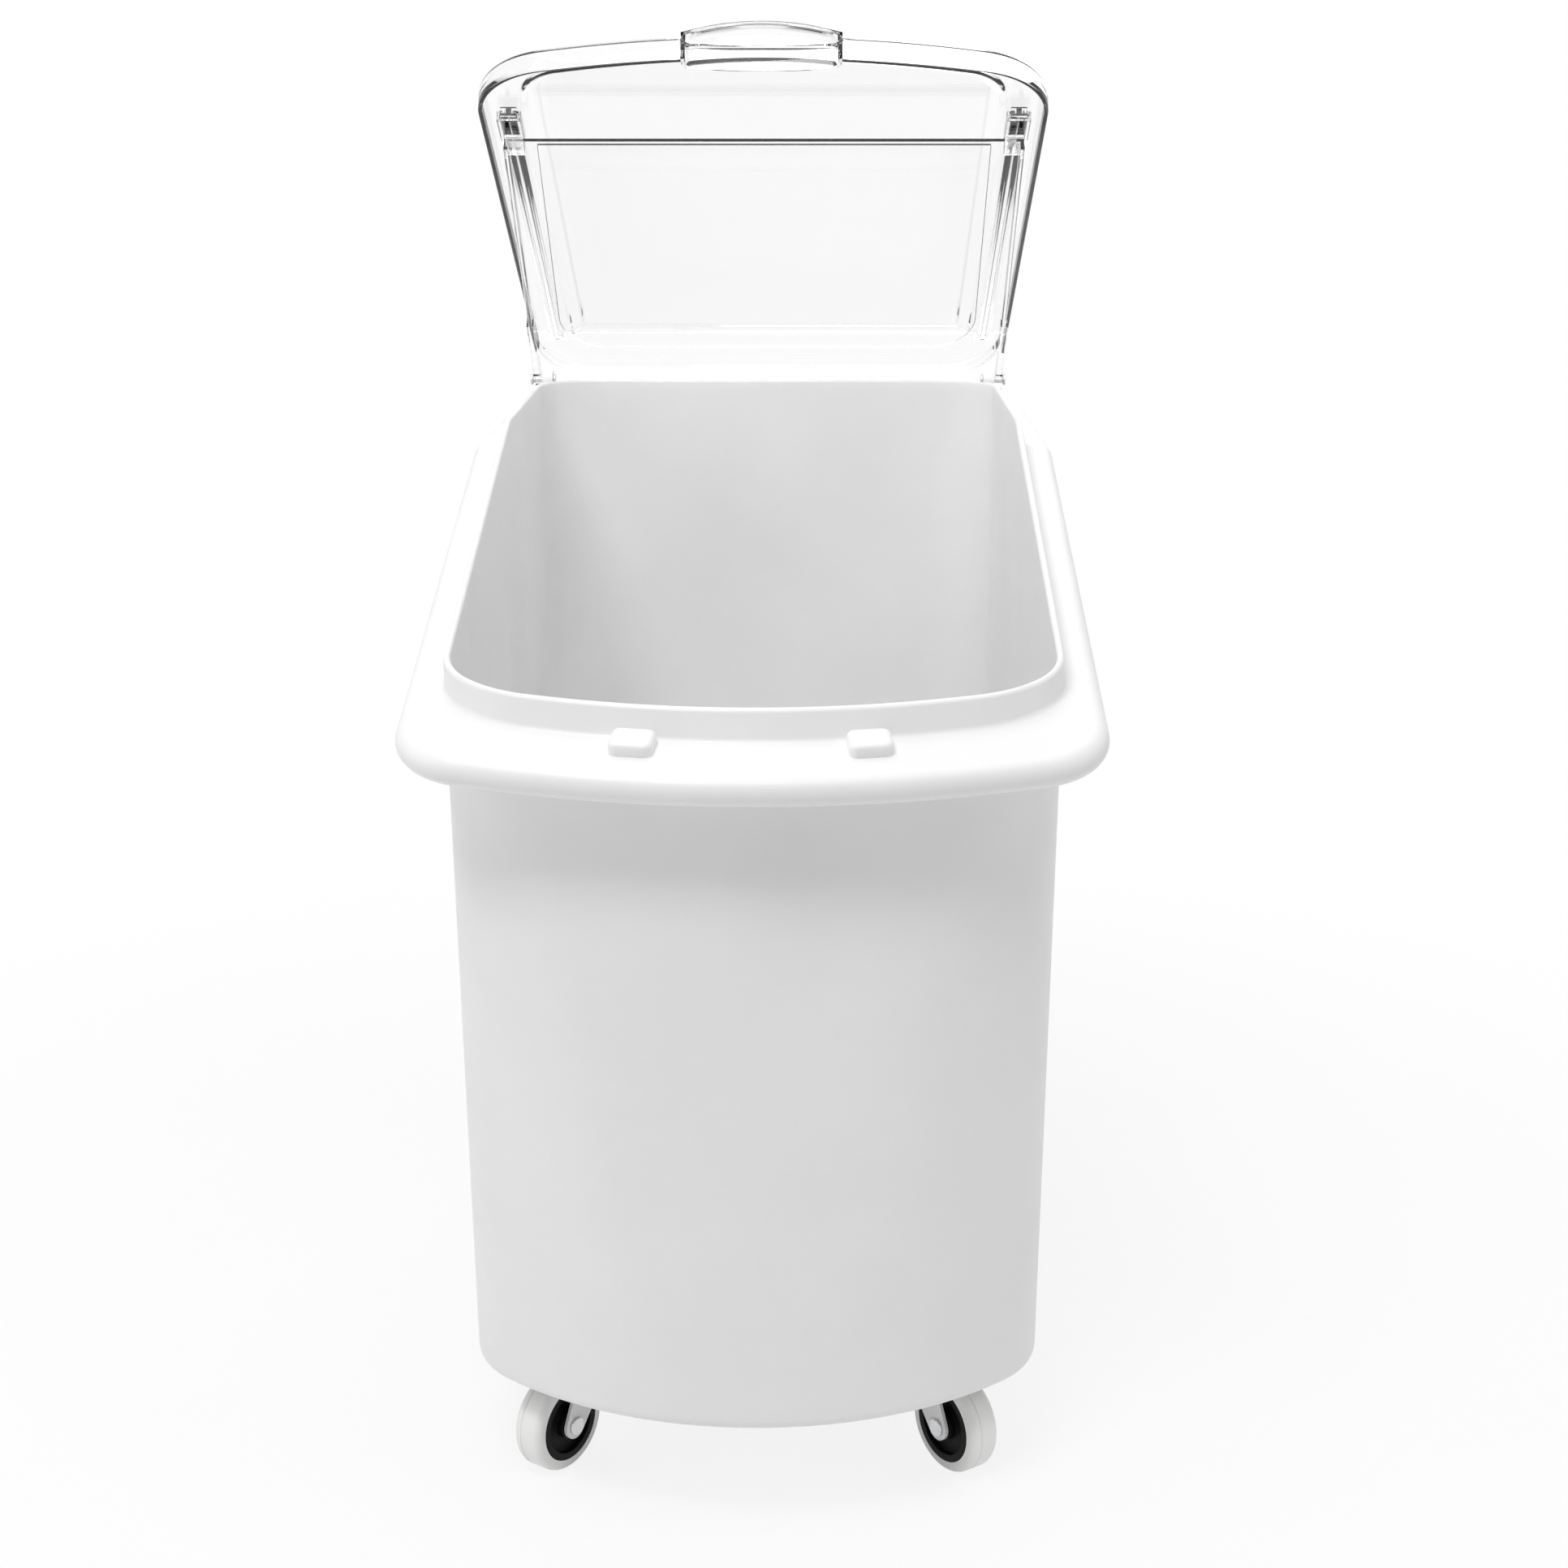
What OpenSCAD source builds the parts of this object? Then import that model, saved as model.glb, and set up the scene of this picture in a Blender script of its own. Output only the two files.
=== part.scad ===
// Rolling ingredient bin: a moulded tub with a slanted mouth, a clear two-piece lid and four swivel casters.
// X is to the right, Y to the back and Z up. The origin is on the floor below the middle of the rim.

/* [Tub rim] */
// Length of the rim flange, front to back
flange_len = 756; // [650:1:850]
// Width of the rim flange
flange_w = 420; // [400:1:480]
// Thickness of the rolled flange
flange_t = 20; // [12:1:24]
// Height of the collar's top edge above the floor, on the level rear part
rim_h = 654; // [560:1:750]
// Height of the collar above the flange
collar_h = 19; // [12:1:22]
// Angle of the slanted front part of the rim
slope = 15.2; // [8:0.1:20]
// Length of the level rear part of the rim
flat_len = 287.5; // [240:0.5:330]
// Ledge between the flange's front edge and the collar
front_ledge = 42; // [36:1:70]
// Ledge between the collar's sides and the flange's side edges
side_ledge = 23; // [20:0.5:34]
// Ledge between the collar and the flange's rear edge
rear_ledge = 35; // [32:1:45]
// Radius of the bowed front edge of the rim
front_bow = 650; // [450:1:1200]
// Radius of the flange's corners
flange_corner = 50; // [35:1:70]

/* [Tub body] */
// Radius of the body's corners at the rim
body_corner = 45; // [30:1:60]
// Taper of each side from the rim to the foot
foot_taper = 2.5; // [0:0.5:12]
// Distance of the foot's front behind the flange's front edge
foot_front = 42; // [35:1:80]
// Distance of the foot's rear ahead of the flange's rear edge
foot_rear = 50; // [35:1:90]
// Radius of the bowed front at the foot
foot_bow = 240; // [220:1:600]
// Radius of the body's corners at the foot
foot_corner = 70; // [40:1:90]
// Wall thickness
wall = 4.5; // [3:0.1:6]
// Height of the foot rim's lower edge above the floor
foot_h = 77; // [74:1:85]
// Roll of the foot rim's lower edge
foot_roll = 7; // [3:0.5:12]
// Thickness of the tub's floor
floor_t = 5; // [4:0.1:8]
// Radius between the inside walls and the floor
floor_round = 26; // [10:1:40]
// Small fillets where the flange meets the collar and the body
rim_fillet = 3; // [1:0.5:4]

/* [Locating bumps] */
// Width of a bump on the front ledge
bump_w = 26; // [16:1:40]
// Length of a bump from the collar forwards
bump_d = 20; // [8:1:24]
// Height of a bump above the flange
bump_h = 8; // [4:1:12]
// Distance between the two bumps
bump_pitch = 135; // [90:1:180]

/* [Hinge] */
// Distance of the hinge axis ahead of the flange's rear edge
hinge_inset = 17; // [14:1:18]
// Height of the hinge axis above the flange
hinge_up = 17; // [15:0.5:20]
// Diameter of the hinge pins
pin_d = 5; // [4:0.5:7]
// Radius of the lugs and ears round the pins
knuckle_r = 8; // [7:0.5:9]
// Thickness of a tub lug
lug_t = 9; // [6:0.5:12]
// Thickness of a lid ear
ear_t = 5.5; // [4.5:0.5:8]
// Angle at which the lid stands open
lid_open = 44.6; // [0:0.1:90]

/* [Rear lid] */
// Thickness of the clear lids
lid_t = 3; // [2:0.5:4]
// Gap between the collar's top edge and the lids
lid_clear = 1; // [0.5:0.1:2]
// Gap between the collar's sides and the rear lid's skirt
skirt_clear = 1.2; // [1:0.1:2]
// Gap between the collar's rear and the rear lid's skirt
rear_clear = 3; // [2.5:0.1:4]
// Depth of the rear lid's skirt below its panel
rear_skirt = 8; // [6:0.5:9]
// Height of the stiffening step on the rear lid's panel
step_h = 2; // [1:0.5:3]
// Width of the rear lid's edge outside the step
step_edge = 24; // [18:1:40]

/* [Front lid] */
// Distance of the front lid's sides from the flange's side edges
lid_side = 5; // [2:0.5:8]
// Distance of the front lid's edge behind the flange's front edge, closed
front_inset = 20; // [10:1:30]
// Depth of the front lid's skirt below its plate
front_skirt = 16; // [14:0.5:20]
// Radius of the front lid's corners
front_corner = 65; // [45:1:80]
// How far the front lid slides back
slide_travel = 350; // [200:1:360]
// Width of the front lid's edge outside the raised panel
panel_edge = 30; // [29:1:50]
// Rise of the front lid's panel
panel_rise = 6; // [4:0.5:8]
// Width of the handle
handle_w = 106; // [80:1:140]
// Rise of the handle's arched lip above the plate
handle_rise = 9; // [7:0.5:14]
// Depth of the finger pocket below the lip
pocket_d = 18; // [14:1:22]
// Bulge of the finger pocket's bowed rear wall
pocket_bulge = 4; // [2:0.5:6]

/* [Rails and clips] */
// Distance of a rail from the front lid's side
rail_inset = 19; // [17:0.5:21]
// Width of a rail's foot
rail_w = 12; // [9:0.5:13]
// Width of a rail's stem
rail_stem = 4; // [3:0.5:5]
// Thickness of a rail's foot
rail_foot = 3; // [2:0.5:3.5]
// Height of a rail below the plate
rail_h = 7; // [6.5:0.5:8]
// Length of a guide clip
clip_len = 36; // [24:1:44]
// Wall of a guide clip
clip_wall = 2.4; // [2:0.1:3]
// Play between a rail and its clip
rail_play = 0.4; // [0.3:0.05:0.6]
// Gap between a clip and the stops of the front lid
stop_gap = 0.4; // [0.3:0.1:1]

/* [Casters] */
// Distance of the kingpins from the foot's sides
caster_inset = 70.5; // [64:0.5:84]
// Distance of the front kingpins behind the flange's front edge
caster_front = 160; // [145:1:180]
// Distance of the rear kingpins ahead of the flange's rear edge
caster_rear = 130; // [125:1:170]
// Angle of the swivelled casters off the straight
caster_yaw = 36; // [0:1:90]
// Wheel diameter
wheel_d = 65; // [62:1:68]
// Width of the tyre
tyre_w = 22; // [18:1:23]
// Diameter of the wheel's dark core
hub_d = 50; // [42:1:54]
// Distance of the axle behind the kingpin
trail = 30; // [24:1:34]
// Inside width of the fork
fork_w = 26; // [25:0.5:28]
// Thickness of the fork and plate sheet
sheet_t = 2.5; // [2:0.1:3]
// Diameter of the axle rivet
axle_d = 8; // [6:0.5:9]
// Outside diameter of the bush on the axle
bush_d = 12; // [11:0.5:14]
// Diameter of the kingpin
kingpin_d = 10; // [8:0.5:12]
// Radius of the ball ring
race_r = 15; // [13:0.5:17]
// Diameter of the bearing balls
ball_d = 4; // [3:0.5:5]
// Number of bearing balls
ball_count = 12; // [8:1:14]
// Side of the square caster plate
plate_w = 64; // [60:1:72]
// Distance between the plate's screws
screw_pitch = 48; // [44:1:50]
// Diameter of the plate's screws
screw_d = 6; // [5:0.5:6.5]

/* [Hidden] */
$fn = 64;
corners = ["front_left", "front_right", "rear_left", "rear_right"];
caster_pieces = ["plate", "kingpin", "bearing_balls", "fork", "axle", "bush", "hub", "tyre"];
single_pieces = ["tub", "left_hinge_pin", "right_hinge_pin", "rear_lid", "left_guide_clip",
    "right_guide_clip", "front_lid", "caster_bolts"];

// Small numbers shared by all pieces
eps = 0.01;
run_clear = 0.05;
big = 2000;
// How far a cut reaches past a face, and a raised piece into what carries it
over = 1;

// Rim levels and the kink between its slanted and level parts
front_y = -flange_len / 2;
rear_y = flange_len / 2;
break_y = rear_y - flat_len;
flange_top = rim_h - collar_h;
flange_mid = flange_top - flange_t / 2;
rim_over_mid = rim_h - flange_mid;
kink_y = break_y - rim_over_mid * tan(slope / 2);
slope_len = (break_y - front_y) / cos(slope);

// Tub body
body_w = flange_w - 2 * side_ledge;
foot_w = body_w - 2 * foot_taper;
collar_front = front_y + front_ledge;
collar_rear = rear_y - rear_ledge;
foot_front_y = front_y + foot_front;
foot_rear_y = rear_y - foot_rear;
foot_inset = foot_roll * 0.6;
least_corner = 2;
loft_z = foot_h + foot_roll;
loft_h = rim_h - loft_z;

// Directions round one half of the tub's outlines, with the places of the kink and the rear's middle
front_turns = [for (a = [0 : 5 : 90]) a];
rear_turns = [for (a = [90 : 10 : 180]) a];
kink_col = len(front_turns);
rear_col = kink_col + len(rear_turns) + 1;

// Caster heights, from the wheel up to the pads under the tub
wheel_r = wheel_d / 2;
crown_gap = 1;
crown_t = 4;
race_t = 4;
race_edge = 5;
wheel_top_gap = 13;
crown_z = wheel_d + wheel_top_gap;
race_z = crown_z + crown_t + crown_gap;
plate_z = race_z + race_t;
pad_z = plate_z + sheet_t;
pad_t = 6;
pad_margin = 7;
pad_w = plate_w + 2 * pad_margin;
recess_z = pad_z + pad_t;
floor_z = recess_z + floor_t;
screw_reach = 2.5;
screw_depth = pad_t + screw_reach;
screw_head_d = 1.7 * screw_d;
screw_head_h = 0.55 * screw_d;

// Hinge
hinge_y = rear_y - hinge_inset;
hinge_z = flange_top + hinge_up;
lug_in = 0.5;
lug_x = body_w / 2 - lug_in;
lug_sink = 3;
hinge_side_gap = 1;
ear_x = lug_x + hinge_side_gap;
pin_head_lip = 2;
pin_head_d = pin_d + 2 * pin_head_lip;
pin_head_t = 2;

// Rear lid, closed
panel_z = rim_h + lid_clear;
panel_top = panel_z + lid_t;
skirt_in_w = body_w + 2 * skirt_clear;
rear_lid_w = skirt_in_w + 2 * lid_t;
rear_lid_end = collar_rear + rear_clear + lid_t;
rear_lid_corner = body_corner + lid_t;

// Front lid, in the slanted frame of the rim: y up the slope from the kink, z off the rim
front_w = flange_w - 2 * lid_side;
rail_x = front_w / 2 - rail_inset;
plate_n = lid_clear + front_skirt;
front_edge = -(slope_len + rim_over_mid * tan(slope / 2) - front_inset);
clip_end = clip_len / 2;
lip_t = lid_t;
stop_w = rail_w + 2 * lid_t;
plate_end = clip_end + stop_gap + lip_t;
foot_n = plate_n - rail_h;
rail_front = -slide_travel - clip_end - stop_gap;

// Left and right, front and rear
side_sign = [-1, 1, -1, 1];
caster_pitch_x = foot_w - 2 * caster_inset;
caster_x = [for (s = side_sign) s * caster_pitch_x / 2];
caster_y = [front_y + caster_front, front_y + caster_front, rear_y - caster_rear, rear_y - caster_rear];
caster_turn = [-90 - caster_yaw, -90 + caster_yaw, 90 + caster_yaw, 90 - caster_yaw];

// Outline with a bowed front, straight sides and rounded corners
module bowed_plan(w, front, rear, bow, corner) {
    offset(r = corner)
        offset(delta = -corner)
            intersection() {
                translate([-w / 2, front])
                    square([w, rear - front]);
                union() {
                    translate([0, front + bow])
                        circle(r = bow, $fn = 144);
                    translate([-w / 2, front + bow])
                        square([w, big]);
                }
            }
}

// Outline with a straight front and two rounded rear corners
module tongue(w, front, rear, corner) {
    translate([-w / 2, front])
        square([w, rear - corner - front]);
    translate([-w / 2 + corner, front])
        square([w - 2 * corner, rear - front]);
    for (s = [-1, 1])
        translate([s * (w / 2 - corner), rear - corner])
            circle(r = corner);
}

// Frame of the rim's slanted part, n above the flange's middle: y runs up the slope, z off it
module on_slope(n) {
    translate([0, break_y - n * tan(slope / 2), flange_mid + n])
        rotate([slope, 0, 0])
            children();
}

// Half of an outline by the direction of its normal, from the front's middle to the rear's middle
function half_outline(w, front, rear, bow, corner, kink) =
    let (
        bow_end = asin((w / 2 - corner) / (bow - corner)),
        corner_y = front + bow - (bow - corner) * cos(bow_end)
    )
    concat(
        [for (a = front_turns)
            a < bow_end
                ? [bow * sin(a), front + bow - bow * cos(a)]
                : [w / 2 - corner + corner * sin(a), corner_y - corner * cos(a)]],
        [[w / 2, kink]],
        [for (a = rear_turns) [w / 2 - corner + corner * sin(a), rear - corner - corner * cos(a)]],
        [[0, rear]]
    );

// Outlines of the body at the foot and at the rim's height, moved inwards by an inset
function foot_outline(inset, kink) =
    half_outline(foot_w - 2 * inset, foot_front_y + inset, foot_rear_y - inset, foot_bow - inset,
        max(foot_corner - inset, least_corner), kink);
function top_outline(inset, kink) =
    half_outline(body_w - 2 * inset, collar_front + inset, collar_rear - inset, front_bow - inset,
        max(body_corner - inset, least_corner), kink);

// Half ring on the body's loft at one height
function level_ring(z, inset) =
    let (
        low = foot_outline(inset, break_y),
        high = top_outline(inset, break_y),
        share = max((z - loft_z) / loft_h, 0)
    )
    [for (i = [0 : rear_col]) concat(low[i] + (high[i] - low[i]) * share, [z])];

// Half ring on the body's loft that follows the kinked rim, n off the flange's middle plane
function rim_ring(n, inset) =
    let (
        kink = break_y - n * tan(slope / 2),
        low = foot_outline(inset, kink),
        high = top_outline(inset, kink),
        start_z = flange_mid - break_y * tan(slope) + n / cos(slope)
    )
    [for (i = [0 : rear_col])
        let (
            lean = (high[i][1] - low[i][1]) / loft_h,
            slant_z = (start_z + (low[i][1] - lean * loft_z) * tan(slope)) / (1 - lean * tan(slope)),
            z = i < kink_col ? slant_z : flange_mid + n
        )
        concat(low[i] + (high[i] - low[i]) * (z - loft_z) / loft_h, [z])];

// Half ring on the flange, n off its middle plane: slanted, mitred at the kink, then level
function flange_ring(inset, n) =
    let (
        flat = half_outline(flange_w - 2 * inset, inset - slope_len, flat_len - inset, front_bow - inset,
            flange_corner - inset, 0)
    )
    [for (i = [0 : rear_col])
        let (x = flat[i][0], along = flat[i][1])
        i < kink_col
            ? [x, break_y + along * cos(slope) - n * sin(slope),
                flange_mid + along * sin(slope) + n * cos(slope)]
            : [x, break_y + (i == kink_col ? -n * tan(slope / 2) : along), flange_mid + n]];

// Half ring with its mirrored other half
function whole_ring(half) =
    concat(half, [for (i = [rear_col - 1 : -1 : 1]) [-half[i][0], half[i][1], half[i][2]]]);

// Triangles between neighbouring rings, and a cap on the first and on the last ring
function skin_faces(rings, count) =
    concat(
        [[for (i = [count - 1 : -1 : 0]) i]],
        [for (k = [0 : rings - 2])
            for (i = [0 : count - 1])
                let (a = k * count + i, b = k * count + (i + 1) % count)
                each [[a, b, b + count], [a, b + count, a + count]]],
        [[for (i = [0 : count - 1]) (rings - 1) * count + i]]
    );

// The tub's skin in one piece: up the inside, over the collar and flange, down to the foot and under it
module tub_skin() {
    lip_r = wall / 2;
    half_t = flange_t / 2;
    rings = concat(
        [for (a = [0 : 30 : 90])
            level_ring(floor_z + floor_round * (1 - cos(a)), wall + floor_round * (1 - sin(a)))],
        [for (a = [0 : 30 : 180]) rim_ring(rim_over_mid - lip_r * (1 - sin(a)), lip_r * (1 + cos(a)))],
        [for (a = [0 : 30 : 90]) rim_ring(half_t + rim_fillet * (1 - sin(a)), -rim_fillet * (1 - cos(a)))],
        [for (a = [90 : -15 : -90]) flange_ring(half_t * (1 - cos(a)), half_t * sin(a))],
        [for (a = [90 : -30 : 0]) rim_ring(-half_t - rim_fillet * (1 - sin(a)), -rim_fillet * (1 - cos(a)))],
        [for (a = [0 : 22.5 : 90]) level_ring(foot_h + foot_roll * (1 - sin(a)), foot_inset * (1 - cos(a)))],
        [for (z = [foot_h, recess_z]) level_ring(z, wall + foot_inset)]
    );
    polyhedron(
        points = [for (r = rings) each whole_ring(r)],
        faces = skin_faces(len(rings), 2 * rear_col)
    );
}

// Two rounded bumps on the front ledge, square to the bowed collar and ending inside its wall
module locating_bumps() {
    bump_round = 5;
    ledge_z = flange_mid + (collar_front - break_y) * tan(slope) + flange_t / 2 / cos(slope);
    share = (ledge_z - loft_z) / loft_h;
    bow = foot_bow + (front_bow - foot_bow) * share;
    turn = asin(bump_pitch / 2 / bow);
    face_y = foot_front_y + (collar_front - foot_front_y) * share + bow * (1 - cos(turn));
    for (s = [-1, 1])
        on_slope(flange_t / 2)
            translate([s * bump_pitch / 2, (face_y - break_y) / cos(slope), -over])
                rotate([0, 0, s * turn])
                    linear_extrude(bump_h + over)
                        difference() {
                            offset(r = bump_round)
                                translate([-bump_w / 2 + bump_round, -bump_d + bump_round])
                                    square([bump_w - 2 * bump_round, 2 * bump_d - 2 * bump_round]);
                            translate([-bump_w, wall / 2])
                                square([2 * bump_w, 2 * bump_d]);
                        }
}

// Plate with a round top about the hinge axis, standing on the flange
module hinge_lug(s) {
    x = s > 0 ? lug_x - lug_t : -lug_x;
    translate([x, hinge_y, hinge_z])
        rotate([90, 0, 90])
            linear_extrude(lug_t) {
                circle(r = knuckle_r);
                translate([-knuckle_r, -hinge_up - lug_sink])
                    square([2 * knuckle_r, hinge_up + lug_sink]);
            }
}

// Cylinder along X at the hinge axis, from one distance off the middle to another
module hinge_cylinder(s, d, from_x, to_x) {
    translate([s > 0 ? from_x : -to_x, hinge_y, hinge_z])
        rotate([0, 90, 0])
            cylinder(d = d, h = to_x - from_x);
}

// Places of the four screws of a caster plate
module screw_places() {
    for (sx = [-1, 1])
        for (sy = [-1, 1])
            translate([sx * screw_pitch / 2, sy * screw_pitch / 2, 0])
                children();
}

// Upright frame at a caster's kingpin, not turned with the swivel
module at_caster(i) {
    translate([caster_x[i], caster_y[i], 0])
        children();
}

// Frame of a caster's swivel: x points to the axle
module on_swivel(i) {
    at_caster(i)
        rotate([0, 0, caster_turn[i]])
            children();
}

// Frame of a caster's wheel: z along the axle
module on_axle(i) {
    on_swivel(i)
        translate([trail, 0, wheel_r])
            rotate([90, 0, 0])
                children();
}

module tub() {
    color("white")
        difference() {
            union() {
                tub_skin();
                locating_bumps();
                hinge_lug(-1);
                hinge_lug(1);
                for (i = [0 : 3])
                    at_caster(i)
                        translate([-pad_w / 2, -pad_w / 2, pad_z])
                            cube([pad_w, pad_w, pad_t + over]);
            }
            for (i = [0 : 3])
                at_caster(i)
                    translate([0, 0, pad_z - over])
                        screw_places()
                            cylinder(d = screw_d, h = screw_depth + over);
            for (s = [-1, 1])
                hinge_cylinder(s, pin_d, lug_x - lug_t - over, lug_x + over);
        }
}

module hinge_pin(s) {
    pin_end = ear_x + ear_t + hinge_side_gap;
    color("silver") {
        hinge_cylinder(s, pin_d, lug_x - lug_t, pin_end);
        hinge_cylinder(s, pin_head_d, lug_x - lug_t - pin_head_t, lug_x - lug_t);
        hinge_cylinder(s, pin_head_d, pin_end, pin_end + pin_head_t);
    }
}

// Turns closed lid pieces to where the open lid stands
module lid_pose() {
    translate([0, hinge_y, hinge_z])
        rotate([-lid_open, 0, 0])
            translate([0, -hinge_y, -hinge_z])
                children();
}

// Slanted frame of the open lid, at the rim's kink
module lid_slope_pose() {
    lid_pose()
        on_slope(rim_over_mid)
            children();
}

// Arm from the rear lid's skirt to the hinge pin
module lid_ear(s) {
    arm_reach = 10;
    arm_front = collar_rear - body_corner - arm_reach;
    x = s > 0 ? ear_x : -ear_x - ear_t;
    translate([x, 0, 0])
        rotate([90, 0, 90])
            linear_extrude(ear_t) {
                translate([hinge_y, hinge_z])
                    circle(r = knuckle_r);
                translate([arm_front, panel_z - rear_skirt])
                    square([hinge_y - arm_front, rear_skirt + lid_t]);
            }
}

module rear_lid() {
    color([0.9, 0.94, 0.95, 0.4])
        lid_pose()
            difference() {
                union() {
                    translate([0, 0, panel_z])
                        linear_extrude(lid_t)
                            tongue(rear_lid_w, kink_y, rear_lid_end, rear_lid_corner);
                    translate([0, 0, panel_top - eps])
                        linear_extrude(step_h + eps)
                            tongue(rear_lid_w - 2 * step_edge, kink_y + 2 * lid_t, rear_lid_end - step_edge,
                                rear_lid_corner - step_edge / 2);
                    translate([0, 0, panel_z - rear_skirt])
                        linear_extrude(rear_skirt + eps)
                            difference() {
                                tongue(rear_lid_w, kink_y, rear_lid_end, rear_lid_corner);
                                tongue(skirt_in_w, kink_y - over, rear_lid_end - lid_t, body_corner);
                            }
                    lid_ear(-1);
                    lid_ear(1);
                }
                for (s = [-1, 1])
                    hinge_cylinder(s, pin_d + 2 * run_clear, ear_x - over, ear_x + ear_t + over);
            }
}

// Channel round a rail, with a foot that stands on the rear lid's front corner
module guide_clip(s) {
    in_w = rail_w + 2 * rail_play;
    out_w = in_w + 2 * clip_wall;
    in_h = rail_foot + 2 * rail_play;
    mouth_play = 0.3;
    mouth_w = rail_stem + 2 * rail_play + 2 * mouth_play;
    base_n = foot_n - rail_play - clip_wall;
    foot_x = rail_x - out_w / 2;
    foot_w_x = rear_lid_w / 2 - foot_x;
    color([0.88, 0.92, 0.94, 0.5])
        lid_pose()
            difference() {
                union() {
                    on_slope(rim_over_mid)
                        translate([s * rail_x - out_w / 2, -clip_end, base_n])
                            cube([out_w, clip_len, in_h + 2 * clip_wall]);
                    intersection() {
                        translate([s > 0 ? foot_x : -foot_x - foot_w_x, kink_y, panel_top])
                            cube([foot_w_x, clip_end, base_n + clip_end * sin(slope)]);
                        on_slope(rim_over_mid)
                            translate([-big / 2, -clip_end, 0])
                                cube([big, clip_len, foot_n]);
                    }
                }
                on_slope(rim_over_mid)
                    translate([s * rail_x - in_w / 2, -clip_len, foot_n - rail_play])
                        cube([in_w, 2 * clip_len, in_h]);
                on_slope(rim_over_mid)
                    translate([s * rail_x - mouth_w / 2, -clip_len, foot_n])
                        cube([mouth_w, 2 * clip_len, plate_n]);
            }
}

// Outline of the front lid's plate, with an inset
module front_plan(inset) {
    intersection() {
        bowed_plan(front_w - 2 * inset, front_edge + inset, plate_end + front_corner, front_bow - inset,
            front_corner - inset);
        translate([-front_w / 2, front_edge])
            square([front_w, plate_end - front_edge]);
    }
}

// Outline of the finger pocket in the middle of the front skirt, with a bowed rear wall
module pocket_plan(grow) {
    pocket_bow = (handle_w * handle_w / 4 + pocket_bulge * pocket_bulge) / (2 * pocket_bulge);
    translate([-handle_w / 2 - grow, front_edge - over])
        square([handle_w + 2 * grow, pocket_d - pocket_bulge + grow + over]);
    intersection() {
        translate([-handle_w / 2 - grow, front_edge])
            square([handle_w + 2 * grow, pocket_d + grow]);
        translate([0, front_edge + pocket_d + grow - pocket_bow])
            circle(r = pocket_bow, $fn = 180);
    }
}

// Solid below an arched line across the front lid, lowered by an inset
module arch(inset, depth) {
    half = handle_w / 2 + lid_t;
    arch_r = (half * half + handle_rise * handle_rise) / (2 * handle_rise);
    translate([0, front_edge + depth, 0])
        rotate([90, 0, 0])
            linear_extrude(depth)
                intersection() {
                    translate([0, plate_n + lid_t + handle_rise - arch_r])
                        circle(r = arch_r - inset, $fn = 180);
                    translate([-half, plate_n + lid_t - inset])
                        square([2 * half, handle_rise]);
                }
}

// Arched lip over the finger pocket
module handle_lip() {
    difference() {
        arch(0, pocket_d + lid_t);
        translate([0, -lid_t, 0])
            arch(lid_t, pocket_d + lid_t);
    }
}

// Rail with a T section under the front lid's plate, and its front stop
module rail(s) {
    translate([s * rail_x - rail_stem / 2, rail_front, foot_n])
        cube([rail_stem, plate_end - rail_front, rail_h + eps]);
    translate([s * rail_x - rail_w / 2, rail_front, foot_n])
        cube([rail_w, plate_end - rail_front, rail_foot]);
    translate([s * rail_x - rail_w / 2, rail_front - lip_t, foot_n])
        cube([rail_w, lip_t, rail_h + eps]);
}

module front_lid() {
    panel_w = front_w - 2 * panel_edge - 2 * lid_t;
    color([0.9, 0.94, 0.95, 0.4])
        lid_slope_pose()
            translate([0, slide_travel, 0]) {
                difference() {
                    union() {
                        translate([0, 0, plate_n])
                            linear_extrude(lid_t)
                                front_plan(0);
                        translate([0, 0, plate_n + eps])
                            linear_extrude(lid_t + panel_rise - eps)
                                front_plan(panel_edge + lid_t);
                        translate([0, 0, lid_clear])
                            linear_extrude(front_skirt + eps)
                                difference() {
                                    front_plan(0);
                                    front_plan(lid_t);
                                }
                        translate([0, 0, lid_clear])
                            linear_extrude(front_skirt + eps)
                                intersection() {
                                    front_plan(0);
                                    pocket_plan(lid_t);
                                }
                    }
                    translate([0, 0, plate_n - over])
                        linear_extrude(panel_rise + over)
                            intersection() {
                                front_plan(panel_edge + 2 * lid_t);
                                translate([-panel_w / 2, front_edge])
                                    square([panel_w, plate_end - front_edge - lip_t]);
                            }
                    translate([0, 0, lid_clear - over])
                        linear_extrude(front_skirt + lid_t + 2 * over)
                            pocket_plan(0);
                }
                handle_lip();
                rail(-1);
                rail(1);
                for (s = [-1, 1])
                    translate([s * rail_x - stop_w / 2, clip_end + stop_gap, foot_n])
                        cube([stop_w, lip_t, rail_h + eps]);
            }
}

module caster_bolts() {
    tip_gap = 0.5;
    color("silver")
        for (i = [0 : 3])
            at_caster(i)
                screw_places() {
                    translate([0, 0, plate_z - screw_head_h])
                        cylinder(d = screw_head_d, h = screw_head_h);
                    translate([0, 0, plate_z - eps])
                        cylinder(d = screw_d, h = screw_depth + sheet_t - tip_gap);
                }
}

// Ring groove that the bearing balls run in
module ball_groove() {
    translate([0, 0, race_z - crown_gap / 2])
        rotate_extrude()
            translate([race_r, 0])
                circle(d = ball_d + 4 * run_clear);
}

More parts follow.
